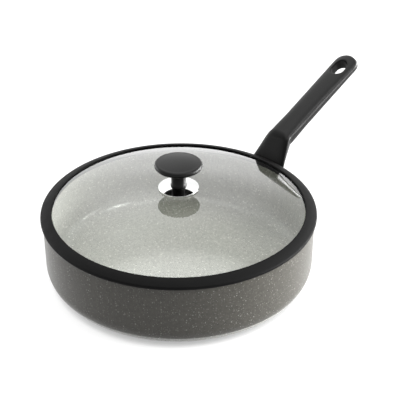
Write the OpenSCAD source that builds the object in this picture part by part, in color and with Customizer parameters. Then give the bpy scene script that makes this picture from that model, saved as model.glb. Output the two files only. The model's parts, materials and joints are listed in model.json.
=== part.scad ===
// Saute pan with a domed glass lid, built from its separate pieces. Millimetres.
// Origin: centre of the flat base on the table. Up is +Z, the handle points along +X.

/* [Pan] */
// Inside diameter of the pan, the nominal size it is sold by
inner_diameter = 280; // [260:5:300]
// Height of the rim above the table
pan_height = 74; // [64:1:90]
// Thickness of the side wall
wall_thickness = 3.8; // [3:0.2:5]
// Thickness of the base, from the table to the cooking floor
floor_thickness = 5.4; // [4.4:0.2:8]
// Radius of the rounded corner between wall and base, outside
corner_radius = 23; // [14:1:30]
// Small bevel on both edges of the rim
rim_bevel = 0.6; // [0.3:0.1:1]

/* [Induction plate] */
// Diameter of the steel plate let into the base
plate_diameter = 204; // [180:2:210]
// Thickness of the steel plate
plate_thickness = 0.6; // [0.4:0.1:1.2]
// Diameter of one perforation
perforation_diameter = 6; // [4:0.5:8]
// Distance between two rings of perforations
perforation_pitch = 17.5; // [15:0.5:19]

/* [Handle] */
// Distance from the pan's axis to the end of the handle
handle_reach = 303; // [285:1:320]
// Width of the grip next to the neck
grip_width = 29; // [26:0.2:34]
// Width of the grip at the hanging slot
end_width = 31.2; // [28:0.2:35]
// Thickness of the grip
grip_thickness = 18.6; // [17:0.2:20]
// Thickness of the grip at the hanging slot
tip_thickness = 14.4; // [12:0.2:16]
// Slope of the grip above the table plane
grip_rise = 23; // [17:0.2:28]
// Slope of the neck between pan and grip
neck_rise = 56.8; // [51:0.2:62]
// Length of the straight part of the neck
neck_length = 26.5; // [20:0.5:31]
// Width of the neck above its foot
neck_width = 38.5; // [34:0.5:44]
// Width of the neck where it turns into the grip
neck_top_width = 30.4; // [28:0.2:34]
// Share by which the neck narrows from its middle to its underside
neck_draft = 0.28; // [0.1:0.02:0.3]
// Thickness of the neck
neck_thickness = 15; // [12:0.5:16]
// Radius of the hollow where the foot turns up into the neck
shoulder_radius = 3.5; // [3.3:0.1:5]
// Width of the foot against the pan
foot_width = 46; // [40:0.5:50]
// Height of the foot against the pan
foot_thickness = 16.4; // [15.8:0.2:17]
// Length of the hanging slot
slot_length = 23; // [20:0.5:27]
// Width of the hanging slot
slot_width = 16; // [13:0.5:18]
// Distance from the slot's centre to the end of the handle
slot_setback = 22.6; // [20:0.2:28]
// Bevel round both mouths of the slot
slot_bevel = 1; // [0.6:0.2:1.6]

/* [Handle fixing] */
// Width of the lug on the pan wall
lug_width = 20; // [16:1:24]
// Depth of the lug, out from the wall
lug_depth = 7; // [6:0.25:7.5]
// Height of the lug
lug_height = 8.6; // [8:0.2:9]
// Diameter of the screw that holds the handle
handle_screw_diameter = 5; // [4:0.5:5]
// Head diameter of the handle screw
handle_head_diameter = 8.6; // [8:0.2:9.4]

/* [Lid] */
// Thickness of the glass
glass_thickness = 4; // [3:0.25:5]
// Rise of the dome from the rim's inner edge to the top
dome_rise = 22; // [16:0.5:30]
// Width of the silicone rim seen from above
rim_width = 12; // [10:0.5:15]
// How far the silicone rim stands out past the pan wall
rim_overhang = 2.3; // [1.9:0.1:2.4]
// Height of the rim's inner edge above the glass
rim_step = 1.7; // [1:0.1:2.4]
// Height of the rim's inner edge above its seat on the pan
rim_height = 7.5; // [6.5:0.1:8.5]
// Radius of the rim's rounded outer edge
rim_nose = 2.2; // [2:0.1:2.4]
// Depth of the part of the rim that centres the lid inside the pan
skirt_depth = 3.2; // [2.6:0.2:6]
// Gap between the skirt and the inside of the pan
skirt_gap = 0.7; // [0.5:0.1:1.2]

/* [Knob] */
// Diameter of the knob
knob_diameter = 50.2; // [40:0.2:60]
// Height of the knob above its steel plate
knob_height = 29.2; // [25:0.2:36]
// Diameter of the knob's stem
stem_diameter = 15.4; // [13.4:0.2:18]
// Radius of the rounded edge of the knob
knob_edge = 3; // [2:0.1:4]
// Height of the knob's domed top above its rounded edge
knob_crown = 2.3; // [0.5:0.1:3]
// Diameter of the polished plate under the knob
escutcheon_diameter = 42.6; // [34:0.2:50]
// Thickness of the polished plate
escutcheon_thickness = 1.3; // [1:0.1:2]
// Radius of the polished plate's own curve
escutcheon_curve = 130; // [110:5:300]
// Thickness of the seal's edge between polished plate and glass
upper_seal_edge = 0.5; // [0.4:0.1:1.2]
// Diameter of the screw that holds the knob
knob_screw_diameter = 5; // [4:0.5:5]

/* [Hidden] */
$fn = 96;
// Named clearances
seat_gap = 0.3;      // lid on the rim
weld_gap = 0.05;     // lug on the wall
press_gap = 0.1;     // pieces pressed or screwed together
lug_gap = 0.25;      // handle over its lug

inner_radius = inner_diameter / 2;
outer_radius = inner_radius + wall_thickness;
inner_corner = corner_radius - wall_thickness;

plate_radius = plate_diameter / 2;
plate_rings = floor((plate_radius - perforation_diameter) / perforation_pitch);

// Handle: the middle line leaves the wall level, turns up, runs straight, turns back to the grip
foot_bend = foot_thickness / 2 + shoulder_radius;
grip_bend = 10.3;
bend_thickness = neck_thickness + 2.4;
foot_start = outer_radius - 2.4;
foot_level = pan_height - 0.8 - foot_thickness / 2;
foot_run = outer_radius + 0.6;
neck_start = [foot_run + foot_bend * sin(neck_rise), foot_level + foot_bend * (1 - cos(neck_rise))];
neck_end = neck_start + neck_length * [cos(neck_rise), sin(neck_rise)];
grip_start = neck_end + grip_bend * [sin(neck_rise) - sin(grip_rise), cos(grip_rise) - cos(neck_rise)];
grip_length = (handle_reach - grip_start[0]) / cos(grip_rise);
slot_along = grip_length - slot_setback;
slot_mid = grip_start + slot_along * [cos(grip_rise), sin(grip_rise)];
slot_cut = grip_thickness;
end_roundness = 2.77;

// Handle fixing
lug_level = foot_level + 0.9;
lug_face = outer_radius + lug_depth;
head_floor = lug_face + lug_gap + 2.6;
washer_thickness = 0.8;
head_height = 2.8;
handle_bore = handle_screw_diameter / 2 + 0.25;
handle_thread_end = outer_radius + 0.8;

// Lid: the seat plane on the rim, then the dome through the rim's inner edge
seat = pan_height + seat_gap;
rim_outer = outer_radius + rim_overhang;
rim_inner = rim_outer - rim_width;
skirt_radius = inner_radius - skirt_gap;
glass_radius = skirt_radius - 1.3;
rim_top = seat + rim_height;
glass_edge_top = rim_top - rim_step;
dome_radius = (rim_inner * rim_inner + dome_rise * dome_rise) / (2 * dome_rise);
glass_top = glass_edge_top + dome_rise;
dome_centre = glass_top - dome_radius;
glass_bottom = glass_top - glass_thickness;
glass_bore = 4.5;
nose_level = seat + rim_nose - 0.5;
lip_edge = 0.3;
skirt_chamfer = 0.8;
lip_inner = rim_inner + 0.5;
lip_level = dome_centre + sqrt(pow(dome_radius - glass_thickness, 2) - lip_inner * lip_inner) - 1.9;

// Knob and its fixing, from the glass upward and downward
seal_radius = escutcheon_diameter / 2 - 0.5;
seal_middle = upper_seal_edge + drop(escutcheon_curve, seal_radius) - drop(dome_radius, seal_radius);
plate_level = glass_top + seal_middle;
knob_level = plate_level + escutcheon_thickness;
knob_top = knob_level + knob_height;
knob_radius = knob_diameter / 2;
stem_radius = stem_diameter / 2;
crown_edge = knob_radius - knob_edge;
crown_radius = (crown_edge * crown_edge + knob_crown * knob_crown) / (2 * knob_crown);
disc_level = knob_top - knob_crown - 2 * knob_edge;
under_fillet = 5;
insert_radius = 4;
insert_length = 12;
insert_level = knob_level + 1;
lower_seal_thickness = 1.5;
lower_washer_thickness = 1;
lower_seal_top = glass_bottom - press_gap;
lower_washer_top = lower_seal_top - lower_seal_thickness;
knob_head_top = lower_washer_top - lower_washer_thickness;
knob_head_radius = 4.5;
knob_screw_radius = knob_screw_diameter / 2;

coat = [0.32, 0.32, 0.31];
steel = [0.75, 0.75, 0.76];
moulded = [0.12, 0.12, 0.12];
rubber = [0.06, 0.06, 0.06];
brass = [0.78, 0.62, 0.3];

// Half outline of a round vessel with a rounded lower corner
module vessel(r, h, c) {
  square([r - c, h]);
  translate([0, c]) square([r, h - c]);
  translate([r - c, c]) circle(c);
}

module ring_tube(r_in, r_out, z, h) {
  translate([0, 0, z]) difference() {
    cylinder(r = r_out, h = h);
    translate([0, 0, -1]) cylinder(r = r_in, h = h + 2);
  }
}

module pan_body() color(coat) {
  difference() {
    rotate_extrude() difference() {
      vessel(outer_radius, pan_height, corner_radius);
      translate([0, floor_thickness]) vessel(inner_radius, pan_height, inner_corner);
      translate([outer_radius, pan_height]) rotate(45)
        square(rim_bevel * sqrt(2), center = true);
      translate([inner_radius, pan_height]) rotate(45)
        square(rim_bevel * sqrt(2), center = true);
    }
    translate([0, 0, -1]) cylinder(r = plate_radius + press_gap, h = 1 + plate_thickness);
  }
}

// Perforated ferritic plate, pressed flush into the base
module induction_plate() color(steel) {
  difference() {
    cylinder(r = plate_radius, h = plate_thickness);
    for (k = [1 : plate_rings]) for (i = [0 : 6 * k - 1]) rotate(i * 60 / k)
      translate([k * perforation_pitch, 0, -1])
        cylinder(d = perforation_diameter, h = plate_thickness + 2, $fn = 24);
  }
}

// Lug welded to the wall; the handle slides over it
module handle_lug() color(steel) {
  difference() {
    translate([outer_radius - 3, -lug_width / 2, lug_level - lug_height / 2])
      cube([lug_depth + 3, lug_width, lug_height]);
    translate([0, 0, lug_level - lug_height]) cylinder(r = outer_radius + weld_gap, h = 2 * lug_height);
    translate([outer_radius, 0, lug_level]) rotate([0, 90, 0])
      cylinder(d = handle_screw_diameter + 2 * press_gap, h = lug_depth + 1, $fn = 32);
  }
}

// One point on the handle's middle line: [x, z, slope, width, thickness, squareness, draft]
function mix(a, b, t) = a + (b - a) * t;
function ease(t) = t * t * (3 - 2 * t);
function foot_station(t) = let(a = neck_rise * t)
  [foot_run + foot_bend * sin(a), foot_level + foot_bend * (1 - cos(a)), a,
   mix(foot_width, neck_width, ease(t)), mix(foot_thickness, neck_thickness, t), 5, neck_draft];
function neck_station(t) =
  [mix(neck_start[0], neck_end[0], t), mix(neck_start[1], neck_end[1], t), neck_rise,
   mix(neck_width, neck_top_width, t), neck_thickness, mix(5, 4, t), neck_draft * (1 - 0.4 * t)];
function bend_station(t) = let(a = mix(neck_rise, grip_rise, t))
  [neck_end[0] + grip_bend * (sin(neck_rise) - sin(a)), neck_end[1] + grip_bend * (cos(a) - cos(neck_rise)),
   a, mix(neck_top_width, grip_width + 0.6, t), mix(neck_thickness, bend_thickness, t), mix(4, 3, t),
   0.6 * neck_draft * (1 - t)];
function grip_station(t) = let(s = (grip_length - end_width / 2) * t)
  [grip_start[0] + s * cos(grip_rise), grip_start[1] + s * sin(grip_rise), grip_rise,
   mix(mix(grip_width + 0.6, grip_width, min(1, 4 * t)), end_width, t * t),
   mix(bend_thickness, grip_thickness, ease(min(1, 3 * t))) - (grip_thickness - tip_thickness) * t * t,
   mix(3, end_roundness, t), 0];
// The end is a little fuller than a half circle
function tip_station(a) = let(p = 2 / end_roundness, s = grip_length - end_width / 2 * (1 - pow(sin(a), p)))
  [grip_start[0] + s * cos(grip_rise), grip_start[1] + s * sin(grip_rise), grip_rise,
   end_width * pow(cos(a), p), tip_thickness * mix(0.6, 1, sqrt(cos(a))), end_roundness, 0];

function stations() = concat(
  [[foot_start, foot_level, 0, foot_width, foot_thickness, 5, neck_draft]],
  [for (i = [0 : 6]) foot_station(i / 6)],
  [for (i = [1 : 4]) neck_station(i / 4)],
  [for (i = [1 : 6]) bend_station(i / 6)],
  [for (i = [1 : 9]) grip_station(i / 9)],
  [for (a = [8, 20, 34, 48, 60, 70, 78, 84, 88]) tip_station(a)]);

section_points = 40;
function signed_pow(v, p) = sign(v) * pow(abs(v), p);
// Rounded section at one station, turned square to the middle line
function section(s) = [for (i = [0 : section_points - 1])
  let(a = 360 * (i + 0.5) / section_points,
      v = signed_pow(sin(a), 2 / s[5]),
      w = s[4] / 2 * v,
      y = s[3] / 2 * signed_pow(cos(a), 2 / s[5]) * (1 + s[6] * v))
  [s[0] - w * sin(s[2]), y, s[1] + w * cos(s[2])]];

module handle_body() {
  list = stations();
  n = len(list);
  m = section_points;
  polyhedron(
    points = [for (s = list) each section(s)],
    faces = concat(
      [[for (i = [0 : m - 1]) i]],
      [for (k = [0 : n - 2]) for (i = [0 : m - 1]) let(a = k * m + i, b = k * m + (i + 1) % m)
        each [[a, a + m, b], [b, a + m, b + m]]],
      [[for (i = [m - 1 : -1 : 0]) (n - 1) * m + i]]),
    convexity = 6);
}

// Frame of the hanging slot: origin on the middle line, X along the grip, Z out of its top
module at_slot() {
  translate([slot_mid[0], 0, slot_mid[1]]) rotate([0, -grip_rise, 0]) children();
}

module slot_outline(grow) {
  r = slot_width / 2 + grow;
  reach = (slot_length - slot_width) / 2;
  for (x = [-reach, reach]) translate([x, 0]) circle(r = r, $fn = 48);
  translate([-reach, -r]) square([2 * reach, 2 * r]);
}

// Bevelled mouth of the slot, opening upward from its own origin
module slot_mouth() hull() {
  translate([0, 0, -slot_bevel]) linear_extrude(0.01) slot_outline(0);
  translate([0, 0, 1]) linear_extrude(0.01) slot_outline(slot_bevel + 1);
}

// Moulded handle: neck and grip in one piece, hollow over the lug
module handle() color(moulded) {
  difference() {
    handle_body();
    at_slot() {
      translate([0, 0, -slot_cut]) linear_extrude(2 * slot_cut) slot_outline(0);
      for (side = [0, 180]) rotate([side, 0, 0]) translate([0, 0, tip_thickness / 2]) slot_mouth();
    }
    translate([0, 0, -1]) cylinder(r = outer_radius + seat_gap, h = neck_end[1]);
    translate([outer_radius - 3, -lug_width / 2 - lug_gap, lug_level - lug_height / 2 - lug_gap])
      cube([lug_depth + 3 + lug_gap, lug_width + 2 * lug_gap, lug_height + 2 * lug_gap]);
    translate([lug_face - 1, 0, lug_level]) rotate([0, 90, 0]) cylinder(r = handle_bore, h = 12, $fn = 32);
    translate([head_floor, 0, lug_level]) rotate([0, 90, 0])
      cylinder(d = handle_head_diameter + 1, h = 20, $fn = 48);
  }
}

module handle_washer() color(steel) {
  translate([head_floor, 0, lug_level]) rotate([0, 90, 0])
    ring_tube(handle_bore, handle_head_diameter / 2, 0, washer_thickness);
}

// Screw along its own Z: shank up, cross-slotted round head below
module screw(r, shank, head_r, head_h) {
  difference() {
    rotate_extrude() {
      square([r, shank]);
      intersection() {
        translate([0, -head_h]) square([head_r, head_h]);
        translate([0, head_h * 1.4]) circle(r = head_h * 2.4);
      }
    }
    for (a = [0, 90]) rotate(a)
      translate([-head_r * 0.55, -0.55, -head_h - 1]) cube([head_r * 1.1, 1.1, 1 + head_h * 0.55]);
  }
}

module handle_screw() color(steel) {
  under_head = head_floor + washer_thickness;
  translate([under_head, 0, lug_level]) rotate([0, -90, 0])
    screw(handle_screw_diameter / 2, under_head - handle_thread_end, handle_head_diameter / 2, head_height);
}

// Dome section between two spheres, out to a radius
module dome(r_edge, grow) {
  intersection() {
    translate([0, dome_centre]) difference() {
      circle(r = dome_radius + grow, $fn = 720);
      circle(r = dome_radius - glass_thickness - grow, $fn = 720);
    }
    square([r_edge, glass_top + 1]);
  }
}

module lid_glass() color([0.8, 0.88, 0.86, 0.35]) {
  rotate_extrude($fn = 180) difference() {
    dome(glass_radius, 0);
    square([glass_bore, glass_top + 1]);
  }
}

// Silicone rim: seals on top of the wall, grips the glass edge, centres inside the pan
module silicone_rim() color(rubber) {
  rotate_extrude($fn = 180) difference() {
    union() {
      polygon([
        [rim_inner, glass_edge_top - 1], [lip_inner, glass_edge_top - 1], [lip_inner, lip_level],
        [glass_radius - 2 * lip_edge, seat - skirt_depth],
        [skirt_radius - skirt_chamfer, seat - skirt_depth],
        [skirt_radius, seat - skirt_depth + skirt_chamfer], [skirt_radius, seat],
        [rim_outer - rim_nose / 2, seat], [rim_outer - rim_nose / 2, nose_level + rim_nose / 2],
        [rim_outer - rim_nose + lip_edge, nose_level + rim_nose - lip_edge], [rim_inner, rim_top]]);
      translate([rim_outer - rim_nose, nose_level]) circle(r = rim_nose);
    }
    dome(glass_radius + press_gap, press_gap);
    // The lower outer lip passes outside the wall
    translate([skirt_radius, 0]) square([outer_radius + seat_gap - skirt_radius, seat]);
  }
}

// How far a sphere has fallen from its top at a distance from the axis
function drop(curve, r) = curve - sqrt(curve * curve - r * r);

// Thin seal between the polished plate and the dome
module upper_seal() color(rubber) {
  steps = 4;
  radii = [for (i = [0 : steps]) mix(glass_bore, seal_radius, i / steps)];
  rotate_extrude() polygon(concat(
    [for (r = radii) [r, glass_top + press_gap - drop(dome_radius, r)]],
    [for (i = [steps : -1 : 0]) [radii[i], plate_level - press_gap - drop(escutcheon_curve, radii[i])]]));
}

// Polished plate, pressed to a tighter curve than the dome
module escutcheon() color(steel) {
  bore = knob_screw_radius + 0.4;
  rotate_extrude() intersection() {
    translate([0, plate_level - escutcheon_curve]) difference() {
      circle(r = escutcheon_curve + escutcheon_thickness, $fn = 720);
      circle(r = escutcheon_curve, $fn = 720);
    }
    translate([bore, glass_bottom]) square([escutcheon_diameter / 2 - bore, knob_top - glass_bottom]);
  }
}

module knob() color(moulded) {
  difference() {
    rotate_extrude() {
      // Stem and its small foot
      translate([0, knob_level]) square([stem_radius, disc_level + 1 - knob_level]);
      translate([0, knob_level]) square([stem_radius + 0.7, 1.3]);
      // Underside of the disc, running out of the stem with a hollow fillet
      difference() {
        translate([0, disc_level - under_fillet]) square([stem_radius + under_fillet, under_fillet + 0.5]);
        translate([stem_radius + under_fillet, disc_level - under_fillet]) circle(r = under_fillet);
      }
      // Disc with a full round edge and a domed top
      translate([0, disc_level]) square([crown_edge, 2 * knob_edge]);
      translate([crown_edge, disc_level + knob_edge]) circle(r = knob_edge);
      intersection() {
        translate([0, disc_level + knob_edge]) square([crown_edge, 2 * knob_edge]);
        translate([0, knob_top - crown_radius]) circle(r = crown_radius, $fn = 360);
      }
    }
    translate([0, 0, insert_level]) cylinder(r = insert_radius + press_gap, h = insert_length + 0.4, $fn = 48);
    translate([0, 0, knob_level - 1]) cylinder(r = knob_screw_radius + 0.4, h = insert_length + 4, $fn = 48);
  }
}

module knob_insert() color(brass)
  ring_tube(knob_screw_radius + press_gap, insert_radius, insert_level + 0.2, insert_length);

module lower_seal() color(rubber)
  ring_tube(knob_screw_radius + 0.4, 8, lower_washer_top, lower_seal_thickness);

module lower_washer() color(steel)
  ring_tube(knob_screw_radius + 0.4, 7.5, knob_head_top, lower_washer_thickness);

module knob_screw() color(steel)
  translate([0, 0, knob_head_top])
    screw(knob_screw_radius, insert_level + insert_length - 1 - knob_head_top, knob_head_radius, 2.8);

pan_body();
induction_plate();
handle_lug();
handle();
handle_washer();
handle_screw();
lid_glass();
silicone_rim();
upper_seal();
escutcheon();
knob();
knob_insert();
lower_seal();
lower_washer();
knob_screw();
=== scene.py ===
import json
import math
import bpy
import bmesh
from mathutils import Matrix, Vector

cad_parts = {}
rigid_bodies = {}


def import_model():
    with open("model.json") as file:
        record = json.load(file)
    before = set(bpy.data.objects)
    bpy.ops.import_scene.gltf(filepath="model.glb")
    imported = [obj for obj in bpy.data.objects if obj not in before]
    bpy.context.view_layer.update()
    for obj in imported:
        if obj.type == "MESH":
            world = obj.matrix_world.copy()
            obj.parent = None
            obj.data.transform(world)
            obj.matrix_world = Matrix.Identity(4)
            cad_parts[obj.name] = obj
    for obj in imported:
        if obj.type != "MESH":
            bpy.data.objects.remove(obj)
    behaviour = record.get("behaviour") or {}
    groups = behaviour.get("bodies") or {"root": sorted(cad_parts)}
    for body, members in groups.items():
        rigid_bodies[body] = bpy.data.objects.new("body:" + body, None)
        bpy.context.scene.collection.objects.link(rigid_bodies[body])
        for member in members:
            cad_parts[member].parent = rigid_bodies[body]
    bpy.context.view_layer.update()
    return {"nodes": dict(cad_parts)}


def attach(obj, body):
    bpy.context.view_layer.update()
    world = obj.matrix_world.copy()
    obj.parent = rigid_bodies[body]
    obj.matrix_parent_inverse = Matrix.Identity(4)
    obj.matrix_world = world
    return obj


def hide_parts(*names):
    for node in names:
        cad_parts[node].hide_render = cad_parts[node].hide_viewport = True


for leftover in list(bpy.data.objects):
    bpy.data.objects.remove(leftover)

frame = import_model()
mm = 0.001
noiseSpan = {"From Min": 0.3, "From Max": 0.7}  # where the values of a noise mostly lie


# sRGB hex to the linear values that Blender's sockets take
def fromHex(code):
    channels = [int(code[i:i + 2], 16) / 255 for i in (0, 2, 4)]
    return [c / 12.92 if c <= 0.04045 else ((c + 0.055) / 1.055) ** 2.4 for c in channels] + [1.0]


# One node with its settings; an input is a plain value or another node's output
def addNode(tree, kind, settings=None, inputs=None):
    node = tree.nodes.new(kind)
    for key, value in (settings or {}).items():
        setattr(node, key, value)
    for key, value in (inputs or {}).items():
        if isinstance(value, bpy.types.NodeSocket):
            tree.links.new(value, node.inputs[key])
        else:
            node.inputs[key].default_value = value
    return node


def sinOf(degrees):
    return math.sin(math.radians(degrees))


def cosOf(degrees):
    return math.cos(math.radians(degrees))


# Unit vector towards an azimuth and an elevation; azimuth 0 is the -Y side
def towards(azimuth, elevation):
    return (sinOf(azimuth) * cosOf(elevation), -cosOf(azimuth) * cosOf(elevation), sinOf(elevation))


def newMaterial(name):
    material = bpy.data.materials.new(name)
    material.use_nodes = True
    material.node_tree.nodes.clear()
    return material, material.node_tree


def finishMaterial(tree, shader):
    addNode(tree, "ShaderNodeOutputMaterial", inputs={"Surface": shader})


# Camera, where the photograph was taken from
cameraSettings = {
    "aim": (15.13, -16.52, 86.68),  # mm
    "azimuth": -47.5,
    "elevation": 30.98,
    "distance": 1100,               # mm
    "lens": 93.70,
    "sensor": 36,
    "clip": 50,                     # mm
}


def placeCamera(s):
    back = Vector(towards(s["azimuth"], s["elevation"]))
    data = bpy.data.cameras.new("photoCamera")
    data.lens = s["lens"]
    data.sensor_width = s["sensor"]
    data.clip_start = s["clip"] * mm
    camera = bpy.data.objects.new("photoCamera", data)
    bpy.context.scene.collection.objects.link(camera)
    camera.location = (Vector(s["aim"]) + back * s["distance"]) * mm
    camera.rotation_mode = "QUATERNION"
    camera.rotation_quaternion = (-back).to_track_quat("-Z", "Y")
    bpy.context.scene.camera = camera


placeCamera(cameraSettings)
print("camera placed")

# Turned pieces: one node tree sweeps a half outline round the axis
weldReach = 0.002  # mm, closes the seam and the poles


def buildTurningTree():
    tree = bpy.data.node_groups.new("turnOutline", "GeometryNodeTree")
    for name, kind in (("Outline", "NodeSocketGeometry"), ("Outline Points", "NodeSocketInt"),
                       ("Steps", "NodeSocketInt"), ("Finish", "NodeSocketMaterial")):
        tree.interface.new_socket(name=name, in_out="INPUT", socket_type=kind)
    tree.interface.new_socket(name="Turned Piece", in_out="OUTPUT", socket_type="NodeSocketGeometry")
    given = addNode(tree, "NodeGroupInput")
    rows = addNode(tree, "ShaderNodeMath", {"operation": "ADD"}, {0: given.outputs["Steps"], 1: 1.0})
    sheet = addNode(tree, "GeometryNodeMeshGrid", inputs={
        "Size X": 1.0, "Size Y": 1.0, "Vertices X": given.outputs["Outline Points"],
        "Vertices Y": rows.outputs[0]})
    place = addNode(tree, "ShaderNodeSeparateXYZ", inputs={
        0: addNode(tree, "GeometryNodeInputPosition").outputs[0]})
    # Across the sheet: which point of the outline
    along = addNode(tree, "ShaderNodeMath", {"operation": "ADD"}, {0: place.outputs["X"], 1: 0.5})
    last = addNode(tree, "ShaderNodeMath", {"operation": "SUBTRACT"}, {
        0: given.outputs["Outline Points"], 1: 1.0})
    index = addNode(tree, "ShaderNodeMath", {"operation": "MULTIPLY"}, {
        0: along.outputs[0], 1: last.outputs[0]})
    nearest = addNode(tree, "ShaderNodeMath", {"operation": "ROUND"}, {0: index.outputs[0]})
    outlinePoint = addNode(tree, "GeometryNodeSampleIndex", {"data_type": "FLOAT_VECTOR"}, {
        "Geometry": given.outputs["Outline"],
        "Value": addNode(tree, "GeometryNodeInputPosition").outputs[0],
        "Index": nearest.outputs[0]})
    radiusAndHeight = addNode(tree, "ShaderNodeSeparateXYZ", inputs={0: outlinePoint.outputs[0]})
    # Along the sheet: the angle round the axis
    turn = addNode(tree, "ShaderNodeMath", {"operation": "ADD"}, {0: place.outputs["Y"], 1: 0.5})
    angle = addNode(tree, "ShaderNodeMath", {"operation": "MULTIPLY"}, {
        0: turn.outputs[0], 1: 2 * math.pi})
    spin = [addNode(tree, "ShaderNodeMath", {"operation": "MULTIPLY"}, {
        0: radiusAndHeight.outputs["X"],
        1: addNode(tree, "ShaderNodeMath", {"operation": wave}, {0: angle.outputs[0]}).outputs[0]})
        for wave in ("COSINE", "SINE")]
    there = addNode(tree, "ShaderNodeCombineXYZ", inputs={
        "X": spin[0].outputs[0], "Y": spin[1].outputs[0], "Z": radiusAndHeight.outputs["Z"]})
    turned = addNode(tree, "GeometryNodeSetPosition", inputs={
        "Geometry": sheet.outputs["Mesh"], "Position": there.outputs[0]})
    closed = addNode(tree, "GeometryNodeMergeByDistance", inputs={
        "Geometry": turned.outputs[0], "Distance": weldReach * mm})
    smooth = addNode(tree, "GeometryNodeSetShadeSmooth", inputs={"Geometry": closed.outputs[0]})
    real = addNode(tree, "GeometryNodeRealizeInstances", inputs={"Geometry": smooth.outputs[0]})
    finished = addNode(tree, "GeometryNodeSetMaterial", inputs={
        "Geometry": real.outputs[0], "Material": given.outputs["Finish"]})
    addNode(tree, "NodeGroupOutput", inputs={0: finished.outputs[0]})
    return tree


turningTree = buildTurningTree()


def setInput(modifier, name, value):
    for item in modifier.node_group.interface.items_tree:
        if item.name == name and item.in_out == "INPUT":
            modifier[item.identifier] = value


# The outline runs so that the outside is on its left, in millimetres of radius and height
def turnPiece(name, outline, steps, material, sharpAngle=40):
    wire = bpy.data.meshes.new(name + "Outline")
    points = [(r * mm, 0, z * mm) for r, z in outline]
    wire.from_pydata(points, [(i, i + 1) for i in range(len(points) - 1)], [])
    maker = bpy.data.objects.new(name + "Maker", wire)
    bpy.context.scene.collection.objects.link(maker)
    modifier = maker.modifiers.new("turn", "NODES")
    modifier.node_group = turningTree
    setInput(modifier, "Outline Points", len(points))
    setInput(modifier, "Steps", steps)
    setInput(modifier, "Finish", material)
    evaluated = maker.evaluated_get(bpy.context.evaluated_depsgraph_get())
    solid = bpy.data.meshes.new_from_object(evaluated)
    bpy.data.objects.remove(maker)
    solid.name = name
    solid.set_sharp_from_angle(angle=math.radians(sharpAngle))
    piece = bpy.data.objects.new(name, solid)
    bpy.context.scene.collection.objects.link(piece)
    print("turned", name, len(solid.polygons), "faces")
    return piece


# Points of a round stretch, from one angle to another in degrees
def arc(centre, radius, start, end, steps):
    angles = [start + (end - start) * i / steps for i in range(steps + 1)]
    return [(centre[0] + radius * cosOf(a), centre[1] + radius * sinOf(a)) for a in angles]


# Materials: one dictionary and one function each
coatingLook = {
    "outside": "504e48",      # warm grey
    "inside": "a9a9a2",       # the same grey, painted lighter inside for the light from above that falls in
    "speck": "f8f7f0",
    "darkSpeck": "2c2c2a",
    "coarse": (2.3, 0.6, 0.36, 0.9),     # mm between specks, share drawn, size, strength
    "fine": (1.25, 0.6, 0.4, 0.8),
    "dark": (2.2, 0.6, 0.42, 0.45),
    "outsideSpeckShade": 0.25,     # how much of a speck's strength shows outside: painted shade on the shaded outer wall
    "speckEdge": 9.0,         # how crisp a speck's outline is
    "darkShift": (0.31, 0.17, 0.23),     # keeps the dark specks off the pale ones
    "bends": 1100.0, "bendReach": 0.7,   # the specks' outlines wander: bends per metre, mm
    "mottle": 0.14, "clouds": 320.0,     # uneven spray: share lighter and darker, clouds per metre
    "roughness": 0.32, "insideRoughness": 0.16, "roughnessSpread": 0.16,
    "ior": 1.37, "insideIor": 1.5,
    "grit": 1500.0, "bump": 0.12, "bumpHeight": 0.1,     # grains per metre, strength, mm
    "wallMiddle": 141.8, "floorMiddle": 3,               # mm, between the inside and the outside
    "bareTop": 0.15, "turningMarks": 2600.0,             # mm of bare metal, marks per metre
    "bareLow": "8f9092", "bareHigh": "d2d3d5",
}


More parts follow.
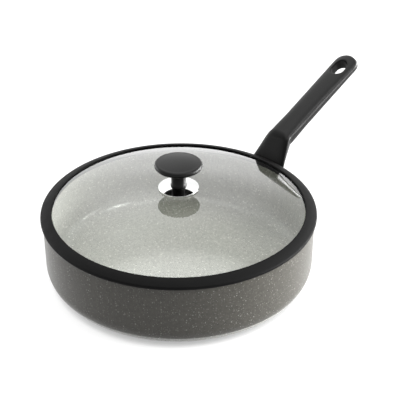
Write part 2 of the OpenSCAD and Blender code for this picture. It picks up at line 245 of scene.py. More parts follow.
# Sprayed stone-look non-stick coating on cast aluminium: satin, warm grey, full of pale specks
def makeCoating(s):
    material, tree = newMaterial("sprayedStoneCoating")
    place = addNode(tree, "ShaderNodeTexCoord").outputs["Object"]
    wander = addNode(tree, "ShaderNodeTexNoise", inputs={
        "Vector": place, "Scale": s["bends"], "Detail": 1.0})
    shift = addNode(tree, "ShaderNodeVectorMath", {"operation": "MULTIPLY_ADD"}, {
        0: wander.outputs["Color"], 1: [s["bendReach"] * mm] * 3, 2: place})

    def specks(kind, vector, shown):
        spacing, share, size, strength = s[kind]
        cells = addNode(tree, "ShaderNodeTexVoronoi", inputs={
            "Vector": vector, "Scale": 1000 / spacing, "Randomness": 1.0})
        draw = addNode(tree, "ShaderNodeSeparateColor", inputs={0: cells.outputs["Color"]})
        reach = addNode(tree, "ShaderNodeMapRange", inputs={
            "Value": draw.outputs[0], "From Min": 1 - share, "From Max": 1.0,
            "To Min": 0.0, "To Max": size})
        depth = addNode(tree, "ShaderNodeMath", {"operation": "SUBTRACT"}, {
            0: reach.outputs[0], 1: cells.outputs["Distance"]})
        edge = addNode(tree, "ShaderNodeMath", {"operation": "MULTIPLY", "use_clamp": True}, {
            0: depth.outputs[0], 1: s["speckEdge"]})
        strong = addNode(tree, "ShaderNodeMath", {"operation": "MULTIPLY"}, {
            0: edge.outputs[0], 1: strength})
        return addNode(tree, "ShaderNodeMath", {"operation": "MULTIPLY"}, {
            0: strong.outputs[0], 1: shown}).outputs[0]

    # Inside or outside of the vessel, by distance from the axis and height
    parts = addNode(tree, "ShaderNodeSeparateXYZ", inputs={0: place})
    flat = addNode(tree, "ShaderNodeCombineXYZ", inputs={
        "X": parts.outputs["X"], "Y": parts.outputs["Y"]})
    radius = addNode(tree, "ShaderNodeVectorMath", {"operation": "LENGTH"}, {0: flat.outputs[0]})
    nearAxis = addNode(tree, "ShaderNodeMath", {"operation": "LESS_THAN"}, {
        0: radius.outputs["Value"], 1: s["wallMiddle"] * mm})
    aboveFloor = addNode(tree, "ShaderNodeMath", {"operation": "GREATER_THAN"}, {
        0: parts.outputs["Z"], 1: s["floorMiddle"] * mm})
    within = addNode(tree, "ShaderNodeMath", {"operation": "MULTIPLY"}, {
        0: nearAxis.outputs[0], 1: aboveFloor.outputs[0]})

    # Painted light: the specks show at full strength inside and weaker on the shaded outside
    speckShading = addNode(tree, "ShaderNodeMapRange", inputs={
        "Value": within.outputs[0], "To Min": s["outsideSpeckShade"], "To Max": 1.0})
    coarse = specks("coarse", shift.outputs[0], speckShading.outputs[0])
    fine = specks("fine", shift.outputs[0], speckShading.outputs[0])
    moved = addNode(tree, "ShaderNodeVectorMath", {"operation": "ADD"}, {
        0: shift.outputs[0], 1: s["darkShift"]})
    dark = specks("dark", moved.outputs[0], 1.0)

    # Painted light: the inside gets a lighter copy of the outside's grey
    groundWithPaintedLight = addNode(tree, "ShaderNodeMix", {"data_type": "RGBA"}, {
        0: within.outputs[0], 6: fromHex(s["outside"]), 7: fromHex(s["inside"])})
    cloud = addNode(tree, "ShaderNodeTexNoise", inputs={
        "Vector": place, "Scale": s["clouds"], "Detail": 3.0})
    mottle = addNode(tree, "ShaderNodeMapRange", inputs={
        **noiseSpan, "Value": cloud.outputs[0], "To Min": 1 - s["mottle"], "To Max": 1 + s["mottle"]})
    uneven = addNode(tree, "ShaderNodeVectorMath", {"operation": "SCALE"}, {
        0: groundWithPaintedLight.outputs[2], "Scale": mottle.outputs[0]})
    withDark = addNode(tree, "ShaderNodeMix", {"data_type": "RGBA"}, {
        0: dark, 6: uneven.outputs[0], 7: fromHex(s["darkSpeck"])})
    withFine = addNode(tree, "ShaderNodeMix", {"data_type": "RGBA"}, {
        0: fine, 6: withDark.outputs[2], 7: fromHex(s["speck"])})
    withCoarse = addNode(tree, "ShaderNodeMix", {"data_type": "RGBA"}, {
        0: coarse, 6: withFine.outputs[2], 7: fromHex(s["speck"])})

    # Ground contact face under the base: bare aluminium with turning marks
    low = addNode(tree, "ShaderNodeMath", {"operation": "LESS_THAN"}, {
        0: parts.outputs["Z"], 1: s["bareTop"] * mm})
    turning = addNode(tree, "ShaderNodeTexNoise", {"noise_dimensions": "1D"}, {
        "W": radius.outputs["Value"], "Scale": s["turningMarks"], "Detail": 2.0})
    bareTone = addNode(tree, "ShaderNodeMix", {"data_type": "RGBA"}, {
        0: turning.outputs[0], 6: fromHex(s["bareLow"]), 7: fromHex(s["bareHigh"])})
    colour = addNode(tree, "ShaderNodeMix", {"data_type": "RGBA"}, {
        0: low.outputs[0], 6: withCoarse.outputs[2], 7: bareTone.outputs[2]})
    ior = addNode(tree, "ShaderNodeMapRange", inputs={
        "Value": within.outputs[0], "To Min": s["ior"], "To Max": s["insideIor"]})
    satin = addNode(tree, "ShaderNodeMapRange", inputs={
        "Value": within.outputs[0], "To Min": s["roughness"], "To Max": s["insideRoughness"]})
    smoothest = addNode(tree, "ShaderNodeMath", {"operation": "SUBTRACT"}, {
        0: satin.outputs[0], 1: s["roughnessSpread"] / 2})
    rough = addNode(tree, "ShaderNodeMath", {"operation": "MULTIPLY_ADD"}, {
        0: cloud.outputs[0], 1: s["roughnessSpread"], 2: smoothest.outputs[0]})
    grit = addNode(tree, "ShaderNodeTexNoise", inputs={
        "Vector": place, "Scale": s["grit"], "Detail": 2.0})
    raised = addNode(tree, "ShaderNodeMath", {"operation": "ADD"}, {0: grit.outputs[0], 1: coarse})
    bump = addNode(tree, "ShaderNodeBump", inputs={
        "Height": raised.outputs[0], "Strength": s["bump"], "Distance": s["bumpHeight"] * mm})
    shader = addNode(tree, "ShaderNodeBsdfPrincipled", inputs={
        "Base Color": colour.outputs[2], "Metallic": low.outputs[0], "Roughness": rough.outputs[0],
        "IOR": ior.outputs[0], "Normal": bump.outputs[0]})
    finishMaterial(tree, shader.outputs[0])
    return material


mouldedLook = {
    "tone": "0b0b0a", "light": "101010", "filler": 60.0,     # clouds of filler per metre
    "roughness": 0.32, "smoother": 0.05, "rougher": 0.07, "sheen": 0.17,
    "grain": 0.35, "bump": 0.2, "bumpHeight": 0.08,          # mm, strength, mm
    "recess": 22, "recessShadeShare": 0.15,                       # mm looked around, sheen left in a corner under the painted shade
    "closed": 0.35, "open": 0.85,                            # openness where the sheen is least and full
}


# Phenolic moulding, black, from a lightly spark-eroded mould: soft sheen with a fine even grain
def makeMoulded(s):
    material, tree = newMaterial("mouldedPhenolic")
    place = addNode(tree, "ShaderNodeTexCoord").outputs["Object"]
    filler = addNode(tree, "ShaderNodeTexNoise", inputs={
        "Vector": place, "Scale": s["filler"], "Detail": 4.0})
    tone = addNode(tree, "ShaderNodeMix", {"data_type": "RGBA"}, {
        0: filler.outputs[0], 6: fromHex(s["tone"]), 7: fromHex(s["light"])})
    # Grain drawn a little coarser than the real one, so that it shows
    grain = addNode(tree, "ShaderNodeTexNoise", inputs={
        "Vector": place, "Scale": 1000 / s["grain"], "Detail": 2.0})
    rough = addNode(tree, "ShaderNodeMapRange", inputs={
        **noiseSpan, "Value": grain.outputs[0],
        "To Min": s["roughness"] - s["smoother"], "To Max": s["roughness"] + s["rougher"]})
    bump = addNode(tree, "ShaderNodeBump", inputs={
        "Height": grain.outputs[0], "Strength": s["bump"], "Distance": s["bumpHeight"] * mm})
    # Painted shade: the sheen is cut down in the slot and the corners, by how enclosed they are
    openness = addNode(tree, "ShaderNodeAmbientOcclusion", {"samples": 8}, {"Distance": s["recess"] * mm})
    sheen = addNode(tree, "ShaderNodeMapRange", inputs={
        "Value": openness.outputs["AO"], "From Min": s["closed"], "From Max": s["open"],
        "To Min": s["sheen"] * s["recessShadeShare"], "To Max": s["sheen"]})
    shader = addNode(tree, "ShaderNodeBsdfPrincipled", inputs={
        "Base Color": tone.outputs[2], "Roughness": rough.outputs[0],
        "Specular IOR Level": sheen.outputs[0], "Normal": bump.outputs[0]})
    finishMaterial(tree, shader.outputs[0])
    return material


siliconeLook = {
    "tone": "050505", "dust": "0e0e0e", "clouds": 90.0,      # clouds of dust per metre
    "roughness": 0.6, "roughnessSpread": 0.12, "sheen": 0.08,
    "skin": 2400.0, "bump": 0.15, "bumpHeight": 0.06,        # pores per metre, strength, mm
}


# Moulded silicone, black: darker than the handle, with a dull satin skin
def makeSilicone(s):
    material, tree = newMaterial("mouldedSilicone")
    place = addNode(tree, "ShaderNodeTexCoord").outputs["Object"]
    bloom = addNode(tree, "ShaderNodeTexNoise", inputs={
        "Vector": place, "Scale": s["clouds"], "Detail": 5.0})
    tone = addNode(tree, "ShaderNodeMix", {"data_type": "RGBA"}, {
        0: bloom.outputs[0], 6: fromHex(s["tone"]), 7: fromHex(s["dust"])})
    skin = addNode(tree, "ShaderNodeTexNoise", inputs={
        "Vector": place, "Scale": s["skin"], "Detail": 2.0})
    half = s["roughnessSpread"] / 2
    rough = addNode(tree, "ShaderNodeMapRange", inputs={
        **noiseSpan, "Value": bloom.outputs[0],
        "To Min": s["roughness"] - half, "To Max": s["roughness"] + half})
    bump = addNode(tree, "ShaderNodeBump", inputs={
        "Height": skin.outputs[0], "Strength": s["bump"], "Distance": s["bumpHeight"] * mm})
    shader = addNode(tree, "ShaderNodeBsdfPrincipled", inputs={
        "Base Color": tone.outputs[2], "Roughness": rough.outputs[0],
        "Specular IOR Level": s["sheen"], "Normal": bump.outputs[0]})
    finishMaterial(tree, shader.outputs[0])
    return material


glassLook = {
    "tint": "fbfbfa", "deep": "f6f8f6", "melt": 14.0,        # cloudiness of the melt, per metre
    "headOn": 0.08, "falloff": 3.4,                          # mirroring seen straight on, and how it rises
}


# Tempered soda-lime glass, polished: it mirrors a little head-on and much more along the surface,
# and dims what is seen through it a little; the near face carries the mirroring of both faces
def makeGlass(s):
    material, tree = newMaterial("temperedGlass")
    place = addNode(tree, "ShaderNodeTexCoord").outputs["Object"]
    melt = addNode(tree, "ShaderNodeTexNoise", inputs={
        "Vector": place, "Scale": s["melt"], "Detail": 1.0})
    tint = addNode(tree, "ShaderNodeMix", {"data_type": "RGBA"}, {
        0: melt.outputs[0], 6: fromHex(s["tint"]), 7: fromHex(s["deep"])})
    along = addNode(tree, "ShaderNodeLayerWeight", inputs={"Blend": 0.5})
    steep = addNode(tree, "ShaderNodeMath", {"operation": "POWER"}, {
        0: along.outputs["Facing"], 1: s["falloff"]})
    both = addNode(tree, "ShaderNodeMapRange", inputs={
        "Value": steep.outputs[0], "To Min": s["headOn"], "To Max": 1.0})
    side = addNode(tree, "ShaderNodeNewGeometry")
    near = addNode(tree, "ShaderNodeMath", {"operation": "SUBTRACT"}, {
        0: 1.0, 1: side.outputs["Backfacing"]})
    share = addNode(tree, "ShaderNodeMath", {"operation": "MULTIPLY"}, {
        0: both.outputs[0], 1: near.outputs[0]})
    clear = addNode(tree, "ShaderNodeBsdfTransparent", inputs={"Color": tint.outputs[2]})
    mirror = addNode(tree, "ShaderNodeBsdfGlossy", inputs={
        "Color": fromHex("ffffff"), "Roughness": 0.0})
    mixed = addNode(tree, "ShaderNodeMixShader", inputs={
        0: share.outputs[0], 1: clear.outputs[0], 2: mirror.outputs[0]})
    finishMaterial(tree, mixed.outputs[0])
    return material


metalLooks = {
    # name: darker tone, lighter tone, roughness, turning marks per metre, bump
    "polishedSteel": ("c9cac9", "d6d7d6", 0.05, 900.0, 0.01),
    "groundSteel": ("9a9b9c", "c2c3c4", 0.34, 2200.0, 0.25),
    "zincPlatedSteel": ("8f9296", "b4b6b8", 0.36, 1500.0, 0.15),
    "stainlessFastener": ("a9a9a8", "c6c6c5", 0.26, 1800.0, 0.12),
    "turnedBrass": ("a98a4c", "c7a765", 0.28, 1800.0, 0.15),
}
metalBumpHeight = 0.05  # mm


# Turned and ground metals: fine rings round the axis break the shine along them
def makeMetal(name, look):
    low, high, roughness, rings, strength = look
    material, tree = newMaterial(name)
    place = addNode(tree, "ShaderNodeTexCoord").outputs["Object"]
    parts = addNode(tree, "ShaderNodeSeparateXYZ", inputs={0: place})
    flat = addNode(tree, "ShaderNodeCombineXYZ", inputs={
        "X": parts.outputs["X"], "Y": parts.outputs["Y"]})
    radius = addNode(tree, "ShaderNodeVectorMath", {"operation": "LENGTH"}, {0: flat.outputs[0]})
    marks = addNode(tree, "ShaderNodeTexNoise", {"noise_dimensions": "1D"}, {
        "W": radius.outputs["Value"], "Scale": rings, "Detail": 3.0})
    tone = addNode(tree, "ShaderNodeMix", {"data_type": "RGBA"}, {
        0: marks.outputs[0], 6: fromHex(low), 7: fromHex(high)})
    rough = addNode(tree, "ShaderNodeMapRange", inputs={
        **noiseSpan, "Value": marks.outputs[0], "To Min": roughness * 0.8, "To Max": roughness * 1.2})
    bump = addNode(tree, "ShaderNodeBump", inputs={
        "Height": marks.outputs[0], "Strength": strength, "Distance": metalBumpHeight * mm})
    shader = addNode(tree, "ShaderNodeBsdfPrincipled", inputs={
        "Base Color": tone.outputs[2], "Metallic": 1.0, "Roughness": rough.outputs[0],
        "Normal": bump.outputs[0]})
    finishMaterial(tree, shader.outputs[0])
    return material


coating = makeCoating(coatingLook)
moulded = makeMoulded(mouldedLook)
silicone = makeSilicone(siliconeLook)
glass = makeGlass(glassLook)
metals = {name: makeMetal(name, look) for name, look in metalLooks.items()}
print("materials made")

# Pan
panSizes = {
    "outer": 143.8, "inner": 140, "height": 74, "floor": 5.4, "outerCorner": 23,
    "innerCorner": 19.2, "lip": 1.1, "plateRecess": 102.1, "recessDepth": 0.6,
    "floorRings": (0, 40, 90),  # edges across the flat floor, so that its faces aren't too long
}


def panOutline(s):
    lip = s["lip"]
    inside = [(r, s["floor"]) for r in s["floorRings"]]
    inside += arc((s["inner"] - s["innerCorner"], s["floor"] + s["innerCorner"]),
                  s["innerCorner"], -90, 0, 24)
    rim = arc((s["inner"] + lip, s["height"] - lip), lip, 180, 90, 6)
    rim += arc((s["outer"] - lip, s["height"] - lip), lip, 90, 0, 6)
    outside = arc((s["outer"] - s["outerCorner"], s["outerCorner"]), s["outerCorner"], 0, -90, 28)
    base = [(s["plateRecess"], 0), (s["plateRecess"], s["recessDepth"]), (0, s["recessDepth"])]
    return inside + rim + outside + base


pan = turnPiece("coatedPan", panOutline(panSizes), 288, coating)
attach(pan, "pan")
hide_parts("pan_body")

# Lid: glass, silicone rim, polished plate and knob
domeSizes = {
    "radius": 419.7, "centre": -317.6, "glass": 4.0, "edge": 138, "bore": 4.5,
    "arris": 0.6, "arrisDrop": 0.8, "steps": 40,
}


# Height of the dome's top face at a radius, or of a face beside it
def domeHeight(r, offset=0.0):
    return domeSizes["centre"] + math.sqrt((domeSizes["radius"] + offset) ** 2 - r * r)


def glassOutline(s):
    reach = s["edge"] - s["arris"] - s["bore"]
    radii = [s["bore"] + reach * i / s["steps"] for i in range(s["steps"] + 1)]
    top = [(r, domeHeight(r)) for r in radii]
    low = [(r, domeHeight(r, -s["glass"])) for r in reversed(radii)]
    edge = [(s["edge"], domeHeight(s["edge"]) - s["arrisDrop"]),
            (s["edge"], domeHeight(s["edge"], -s["glass"]) + s["arrisDrop"])]
    return top + edge + low + [top[0]]


lidGlass = turnPiece("lidGlass", glassOutline(domeSizes), 288, glass)
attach(lidGlass, "lid")
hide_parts("lid_glass")

rimSizes = {
    "inner": 134.1, "top": 81.8, "outer": 146.1, "nose": 2.2, "noseLevel": 76, "seat": 74.3,
    "skirt": 139.3, "skirtFoot": 71.1, "chamfer": 0.8, "toe": 1.9, "lip": 134.6, "lipLevel": 73.8,
    "gap": 0.1, "innerRound": 0.7, "innerDrop": 0.05, "swell": 0.42, "lipInset": 0.4,
    "noseTop": 66, "noseFoot": -78,  # degrees
}


def rimOutline(s):
    nose = (s["outer"] - s["nose"], s["noseLevel"])
    start = (s["inner"], domeHeight(s["inner"]) + s["gap"])
    innerEdge = arc((s["inner"] + s["innerRound"], s["top"] - s["innerRound"] - s["innerDrop"]),
                    s["innerRound"], 180, 72, 5)
    noseRound = arc(nose, s["nose"], s["noseTop"], s["noseFoot"], 12)
    inner, outer = innerEdge[-1], noseRound[0]
    crown = []
    for i in range(1, 10):
        t = i / 10
        crown.append((inner[0] + (outer[0] - inner[0]) * t,
                      inner[1] + (outer[1] - inner[1]) * t + s["swell"] * math.sin(math.pi * t)))
    outerLip = [(nose[0] + s["lipInset"], noseRound[-1][1]), (nose[0] + s["lipInset"], s["seat"])]
    under = [(s["skirt"], s["seat"]), (s["skirt"], s["skirtFoot"] + s["chamfer"]),
             (s["skirt"] - s["chamfer"], s["skirtFoot"]), (s["skirt"] - s["toe"], s["skirtFoot"]),
             (s["lip"], s["lipLevel"])]
    grooveEdge = domeSizes["edge"] + s["gap"]
    groove = [(s["lip"], domeHeight(s["lip"], -domeSizes["glass"]) - s["gap"]),
              (grooveEdge, domeHeight(domeSizes["edge"], -domeSizes["glass"]) - s["gap"]),
              (grooveEdge, domeHeight(domeSizes["edge"]) + s["gap"]), start]
    return [start] + innerEdge + crown + noseRound + outerLip + under + groove


rim = turnPiece("siliconeRim", rimOutline(rimSizes), 288, silicone)
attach(rim, "lid")
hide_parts("silicone_rim")

plateSizes = {
    "outer": 21.3, "bore": 2.9, "level": 103.76, "thickness": 1.3, "curve": 130, "bead": 0.25, "steps": 14,
}


def plateOutline(s):
    reach = s["outer"] - s["bead"]
    radii = [s["bore"] + (reach - s["bore"]) * i / s["steps"] for i in range(s["steps"] + 1)]
    centre = s["level"] - s["curve"]
    low = [(r, centre + math.sqrt(s["curve"] ** 2 - r * r)) for r in radii]
    high = [(r, centre + math.sqrt((s["curve"] + s["thickness"]) ** 2 - r * r)) for r in radii]
    edge = arc((reach, high[-1][1] - s["bead"]), s["bead"], 80, 0, 5)
    return high + edge + [(s["outer"], low[-1][1])] + low[::-1] + [high[0]]


plate = turnPiece("mirrorPlate", plateOutline(plateSizes), 128, metals["polishedSteel"])
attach(plate, "lid")
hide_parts("escutcheon")

knobSizes = {
    "level": 105.06, "top": 134.26, "radius": 25.1, "edge": 3.0, "crown": 2.3, "stem": 7.7,
    "foot": 8.4, "footHeight": 1.3, "footRound": 0.5, "stemFlare": 0.2, "stemRise": 0.4,
    "fillet": 5.0, "bore": 2.9, "boreTop": 118.1, "crownSteps": 10,
}


def knobOutline(s):
    crownEdge = s["radius"] - s["edge"]
    crownRadius = (crownEdge ** 2 + s["crown"] ** 2) / (2 * s["crown"])
    disc = s["top"] - s["crown"] - 2 * s["edge"]
    radii = [crownEdge * i / s["crownSteps"] for i in range(s["crownSteps"] + 1)]
    top = [(r, s["top"] - crownRadius + math.sqrt(crownRadius ** 2 - r ** 2)) for r in radii]
    edge = arc((crownEdge, disc + s["edge"]), s["edge"], 86, -90, 16)
    fillet = arc((s["stem"] + s["fillet"], disc - s["fillet"]), s["fillet"], 90, 180, 10)
    footTop = s["level"] + s["footHeight"]
    stem = [(s["stem"], footTop + s["stemRise"]), (s["stem"] + s["stemFlare"], footTop)]
    foot = arc((s["foot"] - s["footRound"], footTop - s["footRound"]), s["footRound"], 90, 0, 4)
    below = [(s["foot"], s["level"]), (s["bore"], s["level"]),
             (s["bore"], s["boreTop"]), (0, s["boreTop"])]
    return top + edge + fillet + stem + foot + below


knob = turnPiece("mushroomKnob", knobOutline(knobSizes), 128, moulded)
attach(knob, "lid")
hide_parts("knob")

# Handle: rounded sections along a bent middle line
handleSizes = {
    "panHeight": 74, "wall": 143.8, "reach": 303, "seatGap": 0.3,
    "footWidth": 46, "footThickness": 16.4, "footStart": -2.4, "footRun": 0.6, "footDrop": 0.8,
    "footSquareness": 5, "shoulder": 3.5,
    "neckRise": 56.8, "neckLength": 26.5, "neckWidth": 38.5, "neckTop": 30.4, "neckThickness": 15,
    "neckSquareness": 4, "draft": 0.28, "draftLoss": 0.4,
    "bendRadius": 10.3, "bendSwell": 2.4, "bendFlare": 0.6, "bendSquareness": 3,
    "gripRise": 23, "gripWidth": 29, "endWidth": 31.2, "gripThickness": 18.6,
    "tipThickness": 14.4, "tipShare": 0.6, "endRoundness": 2.77, "gripRoundness": 2.35,
    "endAngles": (2, 5, 9, 14, 20, 26, 32, 38, 44, 50, 56, 62, 67, 72, 76, 80, 83, 85.5, 87.5, 89),
    "slotLength": 23, "slotWidth": 16, "slotSetback": 22.6, "slotRound": 1.0,
    "slotCut": (30, 3), "slotNear": (0.2, 1.1),  # height and flare past the face and past the round
    "lugWidth": 20.5, "lugHeight": 9.1, "lugReach": 7.25, "lugRise": 0.9, "lugSink": 5,
    "headFloor": 9.85, "bore": 2.75, "boreReach": 20, "headBore": 4.8, "headReach": 40,
    "wallTop": 130, "wallFoot": -5, "wallSteps": 720,
    "bendSteps": 12, "gripSteps": 40, "sectionPoints": 72, "voxel": 0.6, "softSteps": 5,
}


def mix(a, b, t):
    return a + (b - a) * t


def ease(t):
    return t * t * (3 - 2 * t)


# Height of the foot's middle on the pan's wall
def footMiddle(s):
    return s["panHeight"] - s["footDrop"] - s["footThickness"] / 2


# Stations as (x, z, slope in degrees, width, thickness, squareness, draft)
def handleStations(s):
    start = s["wall"] + s["footStart"]
    run = s["wall"] + s["footRun"]
    level = footMiddle(s)
    footBend = s["footThickness"] / 2 + s["shoulder"]
    bendThickness = s["neckThickness"] + s["bendSwell"]
    bendWidth = s["gripWidth"] + s["bendFlare"]
    fractions = [i / s["bendSteps"] for i in range(1, s["bendSteps"] + 1)]
    stations = [(mix(start, run, i / 4), level, 0, s["footWidth"], s["footThickness"],
                 s["footSquareness"], s["draft"]) for i in range(4)]
    for t in [0] + fractions:
        a = s["neckRise"] * t
        stations.append((run + footBend * sinOf(a), level + footBend * (1 - cosOf(a)), a,
                         mix(s["footWidth"], s["neckWidth"], ease(t)),
                         mix(s["footThickness"], s["neckThickness"], t),
                         s["footSquareness"], s["draft"]))
    begin = stations[-1][:2]
    end = (begin[0] + s["neckLength"] * cosOf(s["neckRise"]),
           begin[1] + s["neckLength"] * sinOf(s["neckRise"]))
    for t in fractions:
        stations.append((mix(begin[0], end[0], t), mix(begin[1], end[1], t), s["neckRise"],
                         mix(s["neckWidth"], s["neckTop"], t), s["neckThickness"],
                         mix(s["footSquareness"], s["neckSquareness"], t),
                         s["draft"] * (1 - s["draftLoss"] * t)))
    for t in fractions:
        a = mix(s["neckRise"], s["gripRise"], t)
        stations.append((end[0] + s["bendRadius"] * (sinOf(s["neckRise"]) - sinOf(a)),
                         end[1] + s["bendRadius"] * (cosOf(a) - cosOf(s["neckRise"])), a,
                         mix(s["neckTop"], bendWidth, t), mix(s["neckThickness"], bendThickness, t),
                         mix(s["neckSquareness"], s["bendSquareness"], t),
                         (1 - s["draftLoss"]) * s["draft"] * (1 - t)))
    gripStart = stations[-1][:2]
    length = (s["reach"] - gripStart[0]) / cosOf(s["gripRise"])
    straight = length - s["endWidth"] / 2

    def onGrip(along):
        return (gripStart[0] + along * cosOf(s["gripRise"]), gripStart[1] + along * sinOf(s["gripRise"]))

    for i in range(1, s["gripSteps"] + 1):
        t = i / s["gripSteps"]
        thinning = (s["gripThickness"] - s["tipThickness"]) * t * t
        stations.append((*onGrip(straight * t), s["gripRise"],
                         mix(mix(bendWidth, s["gripWidth"], min(1, 4 * t)), s["endWidth"], t * t),
                         mix(bendThickness, s["gripThickness"], ease(min(1, 3 * t))) - thinning,
                         mix(s["bendSquareness"], s["gripRoundness"], ease(min(1, 4 * t))), 0))
    power = 2 / s["endRoundness"]
    for a in s["endAngles"]:
        stations.append((*onGrip(length - s["endWidth"] / 2 * (1 - sinOf(a) ** power)), s["gripRise"],
                         s["endWidth"] * cosOf(a) ** power,
                         s["tipThickness"] * mix(s["tipShare"], 1, math.sqrt(cosOf(a))),
                         s["gripRoundness"], 0))
    return stations, onGrip(length - s["slotSetback"])


def signedPower(value, power):
    return math.copysign(abs(value) ** power, value)


def handleSection(station, count):
    x, z, slope, width, thickness, square, draft = station
    slope = math.radians(slope)
    ring = []
    for i in range(count):
        a = 2 * math.pi * (i + 0.5) / count
        v = signedPower(math.sin(a), 2 / square)
        w = thickness / 2 * v
        y = width / 2 * signedPower(math.cos(a), 2 / square) * (1 + draft * v)
        ring.append(((x - w * math.sin(slope)) * mm, y * mm, (z + w * math.cos(slope)) * mm))
    return ring


def meshFrom(name, rings):
    count = len(rings[0])
    points = [point for ring in rings for point in ring]
    faces = [tuple(reversed(range(count)))]
    for k in range(len(rings) - 1):
        for i in range(count):
            a, b = k * count + i, k * count + (i + 1) % count
            faces.append((a, b, b + count, a + count))
    faces.append(tuple(range((len(rings) - 1) * count, len(rings) * count)))
    mesh = bpy.data.meshes.new(name)
    mesh.from_pydata(points, [], faces)
    work = bmesh.new()
    work.from_mesh(mesh)
    bmesh.ops.recalc_face_normals(work, faces=work.faces)
    work.to_mesh(mesh)
    work.free()
    return mesh


def looseObject(name, mesh):
    piece = bpy.data.objects.new(name, mesh)
    bpy.context.scene.collection.objects.link(piece)
    return piece


# Round bar between two points of the XZ plane
def barCutter(name, start, end, radius, count=48):
    direction = Vector((end[0] - start[0], 0, end[1] - start[1])).normalized()
    side = Vector((0, 1, 0))
    up = direction.cross(side)
    rings = []
    for x, z in (start, end):
        rings.append([tuple((Vector((x, 0, z)) + (side * math.cos(a) + up * math.sin(a)) * radius) * mm)
                      for a in (2 * math.pi * i / count for i in range(count))])
    return looseObject(name, meshFrom(name, rings))


# Slot with a rounded mouth on both faces of the grip
def slotCutter(s, centre):
    half = s["tipThickness"] / 2
    far, near = s["slotCut"], s["slotNear"]
    levels = [(-far[0], s["slotRound"] + far[1]), (-half - near[0], s["slotRound"] + near[1])]
    for a in range(0, 91, 15):
        levels.append((-half + s["slotRound"] * sinOf(a), s["slotRound"] * (1 - cosOf(90 - a))))
    levels += [(-h, grow) for h, grow in reversed(levels)]
    rings = []
    straight = (s["slotLength"] - s["slotWidth"]) / 2
    count = 96
    for height, grow in levels:
        ring = []
        for i in range(count):
            a = 2 * math.pi * (i + 0.5) / count
            u = math.copysign(straight, math.cos(a)) + (s["slotWidth"] / 2 + grow) * math.cos(a)
            v = (s["slotWidth"] / 2 + grow) * math.sin(a)
            x = centre[0] + u * cosOf(s["gripRise"]) - height * sinOf(s["gripRise"])
            z = centre[1] + u * sinOf(s["gripRise"]) + height * cosOf(s["gripRise"])
            ring.append((x * mm, v * mm, z * mm))
        rings.append(ring)
    return looseObject("slotCutter", meshFrom("slotCutter", rings))


# Box for the lug, from inside the wall to the lug's face
def lugCutter(s, level):
    spans = ((s["wall"] - s["lugSink"], s["wall"] + s["lugReach"]),
             (-s["lugWidth"] / 2, s["lugWidth"] / 2),
             (level - s["lugHeight"] / 2, level + s["lugHeight"] / 2))
    corners = [(x * mm, y * mm, z * mm) for x in spans[0] for y in spans[1] for z in spans[2]]
    pocket = bpy.data.meshes.new("lugCutter")
    pocket.from_pydata(corners, [], [(0, 1, 3, 2), (4, 6, 7, 5), (0, 4, 5, 1),
                                     (2, 3, 7, 6), (0, 2, 6, 4), (1, 5, 7, 3)])
    return looseObject("lugCutter", pocket)


def buildHandle(s):
    stations, slotCentre = handleStations(s)
    rings = [handleSection(one, s["sectionPoints"]) for one in stations]
    body = looseObject("gripHandle", meshFrom("gripHandle", rings))
    wallFace = s["wall"] + s["seatGap"]
    wallOutline = [(0, s["wallTop"]), (wallFace, s["wallTop"]),
                   (wallFace, s["wallFoot"]), (0, s["wallFoot"])]
    lugLevel = footMiddle(s) + s["lugRise"]
    cutters = [
        turnPiece("wallCutter", wallOutline, s["wallSteps"], moulded), lugCutter(s, lugLevel),
        slotCutter(s, slotCentre),
        barCutter("boreCutter", (s["wall"], lugLevel), (s["wall"] + s["boreReach"], lugLevel), s["bore"]),
        barCutter("headCutter", (s["wall"] + s["headFloor"], lugLevel),
                  (s["wall"] + s["headReach"], lugLevel), s["headBore"]),
    ]
    for cutter in cutters:
        cut = body.modifiers.new(cutter.name, "BOOLEAN")
        cut.object = cutter
        cut.operation = "DIFFERENCE"
        cut.solver = "EXACT"
    even = body.modifiers.new("even", "REMESH")
    even.mode = "VOXEL"
    even.voxel_size = s["voxel"] * mm
    even.use_smooth_shade = True
    soften = body.modifiers.new("soften", "SMOOTH")
    soften.iterations = s["softSteps"]
    evaluated = body.evaluated_get(bpy.context.evaluated_depsgraph_get())
    solid = bpy.data.meshes.new_from_object(evaluated)
    for gone in cutters + [body]:
        bpy.data.objects.remove(gone)
    solid.name = "gripHandle"
    solid.materials.clear()
    solid.materials.append(moulded)
    print("handle made,", len(solid.polygons), "faces")
    return looseObject("gripHandle", solid)


handle = buildHandle(handleSizes)
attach(handle, "pan")
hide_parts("handle")

# Pieces that keep their CAD shape and only get a finish
finishes = {
    "induction_plate": metals["groundSteel"], "handle_lug": metals["zincPlatedSteel"],
    "handle_washer": metals["stainlessFastener"], "handle_screw": metals["stainlessFastener"],
    "knob_insert": metals["turnedBrass"], "lower_washer": metals["stainlessFastener"],
    "knob_screw": metals["stainlessFastener"], "upper_seal": silicone, "lower_seal": silicone,
}
for node, material in finishes.items():
    for held in frame["nodes"][node].material_slots:
        held.material = material

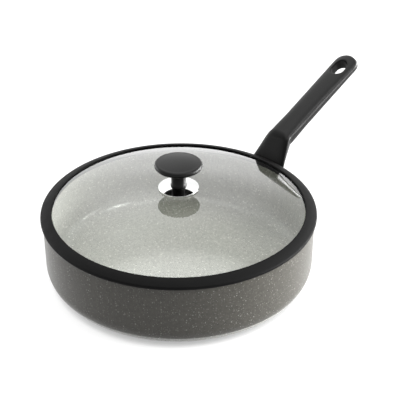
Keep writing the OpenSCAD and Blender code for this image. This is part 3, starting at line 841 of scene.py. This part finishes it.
# Floor, lamps and backdrop
studio = {
    "floor": "9c9c9c",                          # pale grey paper
    "floorGlow": 0.8, "mirroredGlow": 1.0,      # its evenly lit white, as seen and as mirrored
    "contact": 0.007, "contactShade": 0.45,     # reach of the contact shadow in metres, what it leaves
    "floorReach": 6.0, "floorLevel": -0.0003,   # metres
    "backdrop": 1.42, "backdropTop": 0.15,      # what glossy rays see behind the object, low and high
    "backdropFade": (0.15, 0.7),                # sine of the elevation where it starts and ends fading
    "boxes": {  # azimuth, elevation, even part, soft edge (degrees), radiance
        "lowRight": (45, 8, 4, 18, 30),
        "lowRightBehind": (68, 8, 4, 18, 40),
        "wideRight": (60, 20, 20, 50, 0.7),
        "lowLeft": (-170, 4, 8, 28, 4.5),
        "behind": (132, 30, 6, 24, 0.6),
        "highBehind": (132, 55, 8, 34, 1.0),
        "highLeftBehind": (175, 45, 8, 38, 1.2),
        "highRightBehind": (90, 50, 8, 34, 0.5),
        "keyRight": (24, 48, 3, 12, 12),
        "overhead": (-47, 85, 10, 38, 2.5),
        "left": (-132, 24, 10, 34, 0.35),
    },
}


def buildFloor(s):
    mesh = bpy.data.meshes.new("studioFloor")
    r = s["floorReach"]
    z = s["floorLevel"]
    mesh.from_pydata([(-r, -r, z), (r, -r, z), (r, r, z), (-r, r, z)], [], [(0, 1, 2, 3)])
    floor = bpy.data.objects.new("studioFloor", mesh)
    bpy.context.scene.collection.objects.link(floor)
    material, tree = newMaterial("paleFloor")
    paper = addNode(tree, "ShaderNodeBsdfDiffuse", inputs={"Color": fromHex(s["floor"])})
    path = addNode(tree, "ShaderNodeLightPath")
    seen = addNode(tree, "ShaderNodeMath", {"operation": "ADD", "use_clamp": True}, {
        0: path.outputs["Is Camera Ray"], 1: path.outputs["Is Glossy Ray"]})
    seenOrThrough = addNode(tree, "ShaderNodeMath", {"operation": "ADD", "use_clamp": True}, {
        0: seen.outputs[0], 1: path.outputs["Is Transmission Ray"]})
    mirrored = addNode(tree, "ShaderNodeMapRange", inputs={
        "Value": path.outputs["Is Glossy Ray"], "To Min": s["floorGlow"], "To Max": s["mirroredGlow"]})
    glowShare = addNode(tree, "ShaderNodeMath", {"operation": "MULTIPLY"}, {
        0: seenOrThrough.outputs[0], 1: mirrored.outputs[0]})
    # The glow weakens where the pan stands over the paper, as light from all round would
    clear = addNode(tree, "ShaderNodeAmbientOcclusion", {"samples": 12}, {"Distance": s["contact"]})
    fading = addNode(tree, "ShaderNodeMapRange", inputs={
        "Value": clear.outputs["AO"], "To Min": s["contactShade"], "To Max": 1.0})
    strength = addNode(tree, "ShaderNodeMath", {"operation": "MULTIPLY"}, {
        0: glowShare.outputs[0], 1: fading.outputs[0]})
    glow = addNode(tree, "ShaderNodeEmission", inputs={
        "Color": fromHex("ffffff"), "Strength": strength.outputs[0]})
    both = addNode(tree, "ShaderNodeAddShader", inputs={0: paper.outputs[0], 1: glow.outputs[0]})
    finishMaterial(tree, both.outputs[0])
    mesh.materials.append(material)


# Soft boxes, each even within one angle and faded out by the next, and a white backdrop
def buildWorld(s):
    world = bpy.data.worlds.new("studioWorld")
    bpy.context.scene.world = world
    world.use_nodes = True
    tree = world.node_tree
    tree.nodes.clear()
    place = addNode(tree, "ShaderNodeTexCoord").outputs["Generated"]
    total = 0.0
    for azimuth, elevation, even, edge, radiance in s["boxes"].values():
        facing = addNode(tree, "ShaderNodeVectorMath", {"operation": "DOT_PRODUCT"}, {
            0: place, 1: towards(azimuth, elevation)})
        box = addNode(tree, "ShaderNodeMapRange", {"interpolation_type": "SMOOTHSTEP"}, {
            "Value": facing.outputs["Value"], "From Min": cosOf(edge), "From Max": cosOf(even),
            "To Min": 0.0, "To Max": radiance})
        total = addNode(tree, "ShaderNodeMath", {"operation": "ADD"}, {
            0: box.outputs[0], 1: total}).outputs[0]
    height = addNode(tree, "ShaderNodeSeparateXYZ", inputs={0: place}).outputs["Z"]
    backdrop = addNode(tree, "ShaderNodeMapRange", {"interpolation_type": "SMOOTHSTEP"}, {
        "Value": height, "From Min": s["backdropFade"][0], "From Max": s["backdropFade"][1],
        "To Min": s["backdrop"], "To Max": s["backdropTop"]})
    path = addNode(tree, "ShaderNodeLightPath")
    mirrored = addNode(tree, "ShaderNodeMath", {"operation": "MULTIPLY_ADD"}, {
        0: path.outputs["Is Glossy Ray"], 1: backdrop.outputs[0], 2: total})
    strength = addNode(tree, "ShaderNodeMix", {"data_type": "FLOAT"}, {
        0: path.outputs["Is Camera Ray"], 2: mirrored.outputs[0], 3: 1.0})
    sky = addNode(tree, "ShaderNodeBackground", inputs={
        "Color": fromHex("ffffff"), "Strength": strength.outputs[0]})
    addNode(tree, "ShaderNodeOutputWorld", inputs={"Surface": sky.outputs[0]})


buildFloor(studio)
buildWorld(studio)
bpy.context.scene.view_settings.view_transform = "Standard"
print("studio lit")
